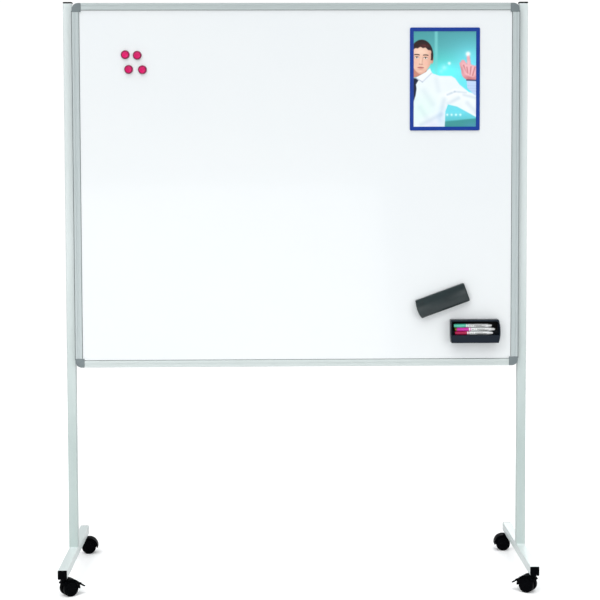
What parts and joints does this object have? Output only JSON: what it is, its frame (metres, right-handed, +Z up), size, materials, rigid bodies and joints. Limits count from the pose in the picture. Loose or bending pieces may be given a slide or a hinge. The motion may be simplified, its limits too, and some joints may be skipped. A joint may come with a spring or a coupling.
{
  "type": "rolling whiteboard",
  "caption": "Framed magnetic whiteboard fixed between two square posts on T feet with braked castors, holding magnets, a notice frame, an eraser and a marker holder.",
  "frame": {"origin": "on the floor, midway between the posts and midway along the feet", "axes": "+X to the right of a person who faces the writing side, +Y from the writing side to the back, +Z up"},
  "size_m": [1.5714, 0.6, 1.945],
  "materials": {
    "silver_paint": "satin",
    "anodised_aluminium": "satin",
    "white_enamel": "gloss",
    "honeycomb_card": "matte",
    "zinc_sheet": "satin",
    "zinc_plate": "satin",
    "grey_plastic": "satin",
    "black_plastic": "satin",
    "castor_nylon": "satin",
    "raspberry_plastic": "satin",
    "blue_plastic": "satin",
    "printed_paper": "satin",
    "slate_plastic": "satin",
    "navy_plastic": "satin",
    "eraser_felt": "matte",
    "marker_cyan": "gloss",
    "marker_yellow": "gloss",
    "marker_purple": "gloss",
    "marker_red": "gloss"
  },
  "bodies": {
    "stand_and_board": {"post_left": "silver_paint", "post_cap_left": "black_plastic", "foot_left": "silver_paint", "foot_plug_left_front": "black_plastic", "foot_plug_left_rear": "black_plastic", "post_right": "silver_paint", "post_cap_right": "black_plastic", "foot_right": "silver_paint", "foot_plug_right_front": "black_plastic", "foot_plug_right_rear": "black_plastic", "rail_left": "anodised_aluminium", "rail_right": "anodised_aluminium", "rail_bottom": "anodised_aluminium", "rail_top": "anodised_aluminium", "corner_lower_left": "grey_plastic", "corner_lower_right": "grey_plastic", "corner_upper_left": "grey_plastic", "corner_upper_right": "grey_plastic", "writing_sheet": "white_enamel", "panel_core": "honeycomb_card", "backing_sheet": "zinc_sheet", "bracket_lower_left": "zinc_plate", "bracket_lower_right": "zinc_plate", "bracket_upper_left": "zinc_plate", "bracket_upper_right": "zinc_plate", "castor_front_left_stem": "zinc_plate", "castor_front_right_stem": "zinc_plate", "castor_rear_left_stem": "zinc_plate", "castor_rear_right_stem": "zinc_plate"},
    "front_left_castor": {"castor_front_left_hood": "black_plastic", "castor_front_left_axle": "zinc_plate"},
    "front_left_wheel_a": {"castor_front_left_wheel_a": "castor_nylon"},
    "front_left_wheel_b": {"castor_front_left_wheel_b": "castor_nylon"},
    "front_left_brake": {"castor_front_left_pedal": "black_plastic"},
    "front_right_castor": {"castor_front_right_hood": "black_plastic", "castor_front_right_axle": "zinc_plate"},
    "front_right_wheel_a": {"castor_front_right_wheel_a": "castor_nylon"},
    "front_right_wheel_b": {"castor_front_right_wheel_b": "castor_nylon"},
    "front_right_brake": {"castor_front_right_pedal": "black_plastic"},
    "rear_left_castor": {"castor_rear_left_hood": "black_plastic", "castor_rear_left_axle": "zinc_plate"},
    "rear_left_wheel_a": {"castor_rear_left_wheel_a": "castor_nylon"},
    "rear_left_wheel_b": {"castor_rear_left_wheel_b": "castor_nylon"},
    "rear_right_castor": {"castor_rear_right_hood": "black_plastic", "castor_rear_right_axle": "zinc_plate"},
    "rear_right_wheel_a": {"castor_rear_right_wheel_a": "castor_nylon"},
    "rear_right_wheel_b": {"castor_rear_right_wheel_b": "castor_nylon"},
    "magnet_1_body": {"magnet_1": "raspberry_plastic"},
    "magnet_2_body": {"magnet_2": "raspberry_plastic"},
    "magnet_3_body": {"magnet_3": "raspberry_plastic"},
    "magnet_4_body": {"magnet_4": "raspberry_plastic"},
    "notice": {"notice_frame": "blue_plastic", "notice_print": "printed_paper"},
    "eraser": {"eraser_grip": "slate_plastic", "eraser_felt": "eraser_felt"},
    "holder": {"marker_holder": "navy_plastic"},
    "marker_yellow_body": {"marker_yellow": "marker_yellow"},
    "marker_cyan_body": {"marker_cyan": "marker_cyan"},
    "marker_purple_body": {"marker_purple": "marker_purple"},
    "marker_red_body": {"marker_red": "marker_red"}
  },
  "joints": [
    {"name": "front_left_swivel", "type": "hinge", "parent": "stand_and_board", "child": "front_left_castor", "pos_m": [-0.7665, -0.27, 0.05], "axis": [0, 0, 1], "continuous": true},
    {"name": "front_left_wheel_a_spin", "type": "hinge", "parent": "front_left_castor", "child": "front_left_wheel_a", "pos_m": [-0.75075, -0.25938, 0.025], "axis": [-0.5592, 0.829, 0], "continuous": true},
    {"name": "front_left_wheel_b_spin", "type": "hinge", "parent": "front_left_castor", "child": "front_left_wheel_b", "pos_m": [-0.75075, -0.25938, 0.025], "axis": [-0.5592, 0.829, 0], "continuous": true},
    {"name": "front_left_brake_press", "type": "hinge", "parent": "front_left_castor", "child": "front_left_brake", "pos_m": [-0.72231, -0.24019, 0.0372], "axis": [-0.5592, 0.829, 0], "range_deg": [0, 20]},
    {"name": "front_right_swivel", "type": "hinge", "parent": "stand_and_board", "child": "front_right_castor", "pos_m": [0.7665, -0.27, 0.05], "axis": [0, 0, 1], "continuous": true},
    {"name": "front_right_wheel_a_spin", "type": "hinge", "parent": "front_right_castor", "child": "front_right_wheel_a", "pos_m": [0.75075, -0.25938, 0.025], "axis": [-0.5592, -0.829, 0], "continuous": true},
    {"name": "front_right_wheel_b_spin", "type": "hinge", "parent": "front_right_castor", "child": "front_right_wheel_b", "pos_m": [0.75075, -0.25938, 0.025], "axis": [-0.5592, -0.829, 0], "continuous": true},
    {"name": "front_right_brake_press", "type": "hinge", "parent": "front_right_castor", "child": "front_right_brake", "pos_m": [0.72231, -0.24019, 0.0372], "axis": [-0.5592, -0.829, 0], "range_deg": [0, 20]},
    {"name": "rear_left_swivel", "type": "hinge", "parent": "stand_and_board", "child": "rear_left_castor", "pos_m": [-0.7665, 0.27, 0.05], "axis": [0, 0, 1], "continuous": true},
    {"name": "rear_left_wheel_a_spin", "type": "hinge", "parent": "rear_left_castor", "child": "rear_left_wheel_a", "pos_m": [-0.74753, 0.27099, 0.025], "axis": [-0.0523, 0.9986, 0], "continuous": true},
    {"name": "rear_left_wheel_b_spin", "type": "hinge", "parent": "rear_left_castor", "child": "rear_left_wheel_b", "pos_m": [-0.74753, 0.27099, 0.025], "axis": [-0.0523, 0.9986, 0], "continuous": true},
    {"name": "rear_right_swivel", "type": "hinge", "parent": "stand_and_board", "child": "rear_right_castor", "pos_m": [0.7665, 0.27, 0.05], "axis": [0, 0, 1], "continuous": true},
    {"name": "rear_right_wheel_a_spin", "type": "hinge", "parent": "rear_right_castor", "child": "rear_right_wheel_a", "pos_m": [0.74753, 0.27099, 0.025], "axis": [-0.0523, -0.9986, 0], "continuous": true},
    {"name": "rear_right_wheel_b_spin", "type": "hinge", "parent": "rear_right_castor", "child": "rear_right_wheel_b", "pos_m": [0.74753, 0.27099, 0.025], "axis": [-0.0523, -0.9986, 0], "continuous": true},
    {"name": "magnet_1_pull", "type": "slide", "parent": "stand_and_board", "child": "magnet_1_body", "axis": [0, -1, 0], "range_m": [0, 0.04]},
    {"name": "magnet_2_pull", "type": "slide", "parent": "stand_and_board", "child": "magnet_2_body", "axis": [0, -1, 0], "range_m": [0, 0.04]},
    {"name": "magnet_3_pull", "type": "slide", "parent": "stand_and_board", "child": "magnet_3_body", "axis": [0, -1, 0], "range_m": [0, 0.04]},
    {"name": "magnet_4_pull", "type": "slide", "parent": "stand_and_board", "child": "magnet_4_body", "axis": [0, -1, 0], "range_m": [0, 0.04]},
    {"name": "notice_pull", "type": "slide", "parent": "stand_and_board", "child": "notice", "axis": [0, -1, 0], "range_m": [0, 0.05]},
    {"name": "eraser_pull", "type": "slide", "parent": "stand_and_board", "child": "eraser", "axis": [0, -1, 0], "range_m": [0, 0.06]},
    {"name": "holder_pull", "type": "slide", "parent": "stand_and_board", "child": "holder", "axis": [0, -1, 0], "range_m": [0, 0.05]},
    {"name": "marker_yellow_slide", "type": "slide", "parent": "holder", "child": "marker_yellow_body", "axis": [1, 0, 0], "range_m": [-0.011, 0.016]},
    {"name": "marker_cyan_pull", "type": "slide", "parent": "holder", "child": "marker_cyan_body", "axis": [0, -1, 0], "range_m": [0, 0.06]},
    {"name": "marker_purple_pull", "type": "slide", "parent": "holder", "child": "marker_purple_body", "axis": [0, -1, 0], "range_m": [0, 0.06]},
    {"name": "marker_red_pull", "type": "slide", "parent": "holder", "child": "marker_red_body", "axis": [0, -1, 0], "range_m": [0, 0.06]}
  ]
}
